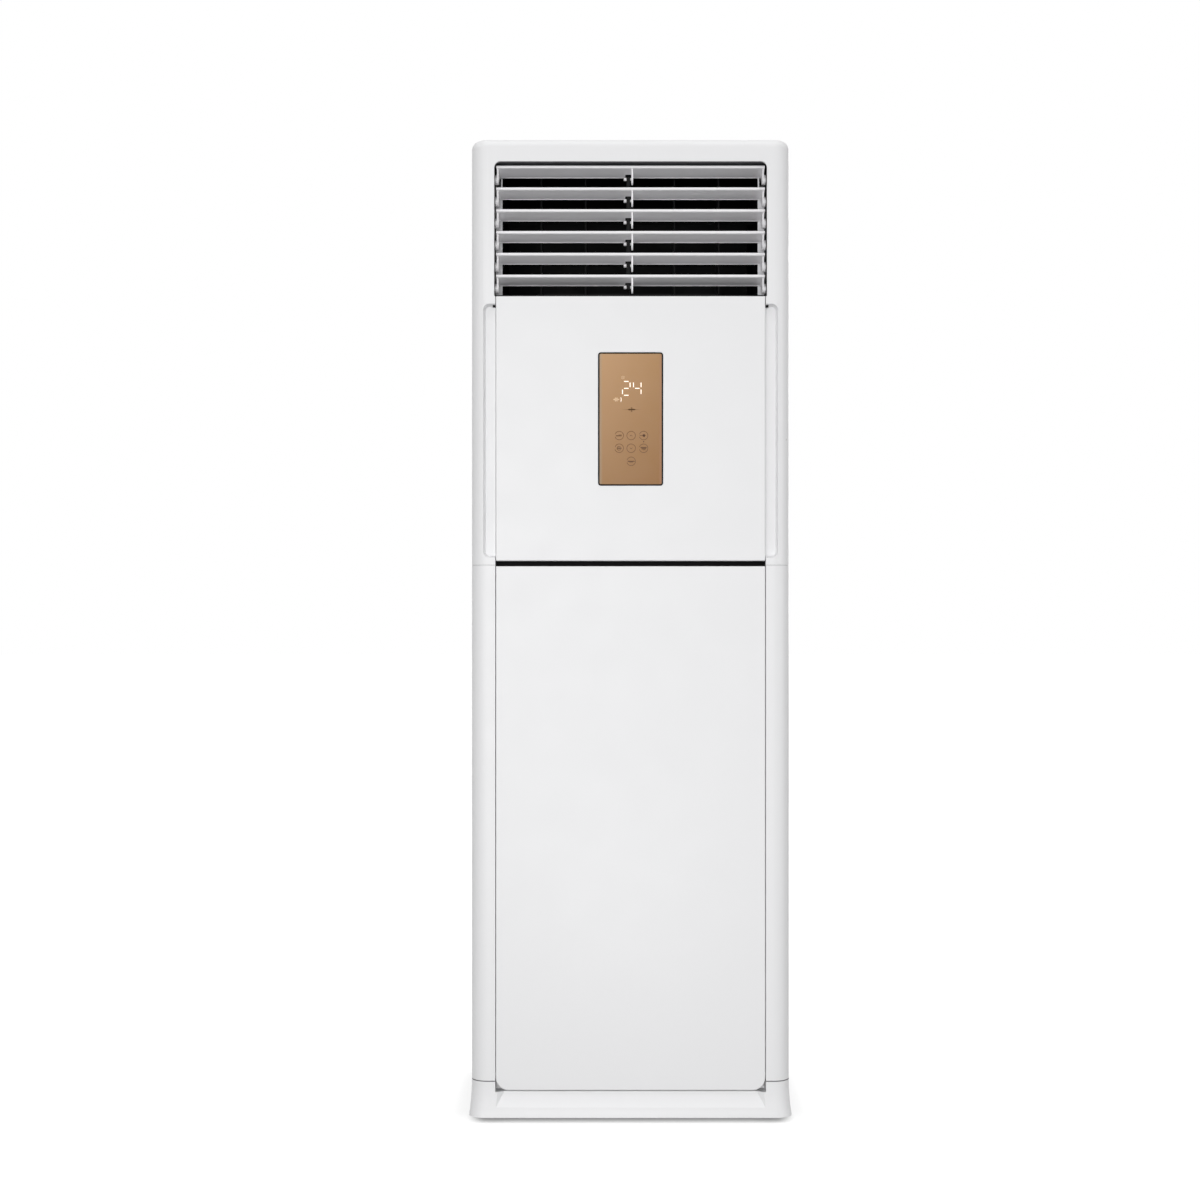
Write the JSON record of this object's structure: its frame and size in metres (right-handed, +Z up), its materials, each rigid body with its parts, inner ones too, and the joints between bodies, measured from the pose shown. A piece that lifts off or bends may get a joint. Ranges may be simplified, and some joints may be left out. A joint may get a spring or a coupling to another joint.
{
  "type": "floor standing air conditioner",
  "caption": "Tall free-standing indoor air conditioner cabinet with a louvered outlet at the top, flat front panels and side intakes, fed by a centrifugal fan.",
  "frame": {"origin": "on the floor under the middle of the cabinet's bounding box", "axes": "+Z up, -Y to the front with the louvers and the control panel, +X to the right of someone who faces it"},
  "size_m": [0.615, 0.35, 1.855],
  "materials": {
    "white_plastic": "satin",
    "painted_steel": "satin paint",
    "grille_plastic": "matte",
    "filter_mesh": "mesh",
    "zinc_steel": "galvanised",
    "black_steel": "matte paint",
    "black_plastic": "matte",
    "duct_plastic": "matte",
    "grey_plastic": "matte",
    "bezel_plastic": "gloss",
    "gold_glass": "back printed, gloss",
    "circuit_board": "solder mask",
    "bright_steel": "bright",
    "motor_paint": "satin paint",
    "motor_steel": "plated",
    "capacitor_can": "drawn",
    "fin_aluminium": "mill",
    "copper": "drawn copper",
    "rubber": "matte"
  },
  "bodies": {
    "cabinet": {"upper_front_frame": "white_plastic", "lower_column_left": "white_plastic", "lower_column_right": "white_plastic", "base_plinth": "white_plastic", "base_pan": "zinc_steel", "side_panel_left": "painted_steel", "side_panel_right": "painted_steel", "rear_lower_panel": "painted_steel", "rear_upper_panel": "painted_steel", "top_cover": "white_plastic", "mid_crossmember": "black_steel", "coil_cover": "zinc_steel", "panel_catches": "black_plastic", "cabinet_screws": "bright_steel", "louver_frame": "black_plastic", "outlet_duct": "duct_plastic", "louver_motor": "motor_steel", "vane_motor": "motor_steel", "fan_deck": "zinc_steel", "fan_scroll": "black_plastic", "bell_mouth": "black_plastic", "fan_motor": "motor_paint", "motor_bracket": "zinc_steel", "evaporator_fins": "fin_aluminium", "evaporator_end_plates": "zinc_steel", "evaporator_bends": "copper", "drain_pan": "grey_plastic", "gas_pipe": "copper", "liquid_pipe": "copper", "pipe_grommet": "rubber", "electrical_box": "zinc_steel", "electrical_cover": "zinc_steel", "main_board": "circuit_board", "terminal_block": "grey_plastic", "fan_capacitor": "capacitor_can"},
    "louver_1": {"louver_1": "white_plastic"},
    "louver_2": {"louver_2": "white_plastic"},
    "louver_3": {"louver_3": "white_plastic"},
    "louver_4": {"louver_4": "white_plastic"},
    "louver_5": {"louver_5": "white_plastic"},
    "louver_6": {"louver_6": "white_plastic"},
    "louver_linkage": {"louver_link_rod": "black_plastic"},
    "vane_1": {"vane_1": "black_plastic"},
    "vane_2": {"vane_2": "black_plastic"},
    "vane_3": {"vane_3": "black_plastic"},
    "vane_4": {"vane_4": "black_plastic"},
    "vane_5": {"vane_5": "black_plastic"},
    "vane_linkage": {"vane_tie_bar": "black_plastic"},
    "fan": {"fan_wheel": "black_plastic", "fan_shaft": "bright_steel", "wheel_nut": "bright_steel"},
    "lower_panel": {"lower_front_panel": "white_plastic"},
    "upper_panel": {"upper_front_panel": "white_plastic", "control_bezel": "bezel_plastic", "control_glass": "gold_glass", "display_board": "circuit_board"},
    "intake_left": {"intake_grille_left": "grille_plastic", "intake_filter_left": "filter_mesh"},
    "intake_right": {"intake_grille_right": "grille_plastic", "intake_filter_right": "filter_mesh"}
  },
  "joints": [
    {"name": "louver_1_tilt", "type": "hinge", "parent": "cabinet", "child": "louver_1", "pos_m": [0, -0.143, 1.7815], "axis": [1, 0, 0], "range_deg": [-15, 35]},
    {"name": "louver_2_tilt", "type": "hinge", "parent": "cabinet", "child": "louver_2", "pos_m": [0, -0.143, 1.74], "axis": [1, 0, 0], "range_deg": [-15, 35]},
    {"name": "louver_3_tilt", "type": "hinge", "parent": "cabinet", "child": "louver_3", "pos_m": [0, -0.143, 1.6985], "axis": [1, 0, 0], "range_deg": [-15, 35]},
    {"name": "louver_4_tilt", "type": "hinge", "parent": "cabinet", "child": "louver_4", "pos_m": [0, -0.143, 1.657], "axis": [1, 0, 0], "range_deg": [-15, 35]},
    {"name": "louver_5_tilt", "type": "hinge", "parent": "cabinet", "child": "louver_5", "pos_m": [0, -0.143, 1.6155], "axis": [1, 0, 0], "range_deg": [-15, 35]},
    {"name": "louver_6_tilt", "type": "hinge", "parent": "cabinet", "child": "louver_6", "pos_m": [0, -0.143, 1.574], "axis": [1, 0, 0], "range_deg": [-15, 35]},
    {"name": "louver_link_pivot", "type": "hinge", "parent": "louver_3", "child": "louver_linkage", "pos_m": [-0.0036, -0.118, 1.7055], "axis": [1, 0, 0], "range_deg": [-35, 15]},
    {"name": "vane_1_swing", "type": "hinge", "parent": "cabinet", "child": "vane_1", "pos_m": [-0.172, -0.06, 1.68], "axis": [0, 0, 1], "range_deg": [-35, 35]},
    {"name": "vane_2_swing", "type": "hinge", "parent": "cabinet", "child": "vane_2", "pos_m": [-0.086, -0.06, 1.68], "axis": [0, 0, 1], "range_deg": [-35, 35]},
    {"name": "vane_3_swing", "type": "hinge", "parent": "cabinet", "child": "vane_3", "pos_m": [0, -0.06, 1.68], "axis": [0, 0, 1], "range_deg": [-35, 35]},
    {"name": "vane_4_swing", "type": "hinge", "parent": "cabinet", "child": "vane_4", "pos_m": [0.086, -0.06, 1.68], "axis": [0, 0, 1], "range_deg": [-35, 35]},
    {"name": "vane_5_swing", "type": "hinge", "parent": "cabinet", "child": "vane_5", "pos_m": [0.172, -0.06, 1.68], "axis": [0, 0, 1], "range_deg": [-35, 35]},
    {"name": "vane_tie_pivot", "type": "hinge", "parent": "vane_3", "child": "vane_linkage", "pos_m": [0, -0.04, 1.578], "axis": [0, 0, 1], "range_deg": [-35, 35]},
    {"name": "fan_spin", "type": "hinge", "parent": "cabinet", "child": "fan", "pos_m": [-0.05, 0.05, 0.32], "axis": [0, 1, 0], "continuous": true},
    {"name": "lower_panel_tilt", "type": "hinge", "parent": "cabinet", "child": "lower_panel", "pos_m": [0, -0.16, 0.08], "axis": [1, 0, 0], "range_deg": [0, 25]},
    {"name": "upper_panel_pull", "type": "slide", "parent": "cabinet", "child": "upper_panel", "axis": [0, -1, 0], "range_m": [0, 0.025]},
    {"name": "intake_left_pull", "type": "slide", "parent": "cabinet", "child": "intake_left", "axis": [-1, 0, 0], "range_m": [0, 0.05]},
    {"name": "intake_right_pull", "type": "slide", "parent": "cabinet", "child": "intake_right", "axis": [1, 0, 0], "range_m": [0, 0.05]}
  ],
  "couplings": [
    {"joint": "louver_1_tilt", "follows": "louver_3_tilt", "ratio": 1},
    {"joint": "louver_2_tilt", "follows": "louver_3_tilt", "ratio": 1},
    {"joint": "louver_4_tilt", "follows": "louver_3_tilt", "ratio": 1},
    {"joint": "louver_5_tilt", "follows": "louver_3_tilt", "ratio": 1},
    {"joint": "louver_6_tilt", "follows": "louver_3_tilt", "ratio": 1},
    {"joint": "louver_link_pivot", "follows": "louver_3_tilt", "ratio": -1},
    {"joint": "vane_1_swing", "follows": "vane_3_swing", "ratio": 1},
    {"joint": "vane_2_swing", "follows": "vane_3_swing", "ratio": 1},
    {"joint": "vane_4_swing", "follows": "vane_3_swing", "ratio": 1},
    {"joint": "vane_5_swing", "follows": "vane_3_swing", "ratio": 1},
    {"joint": "vane_tie_pivot", "follows": "vane_3_swing", "ratio": -1}
  ]
}
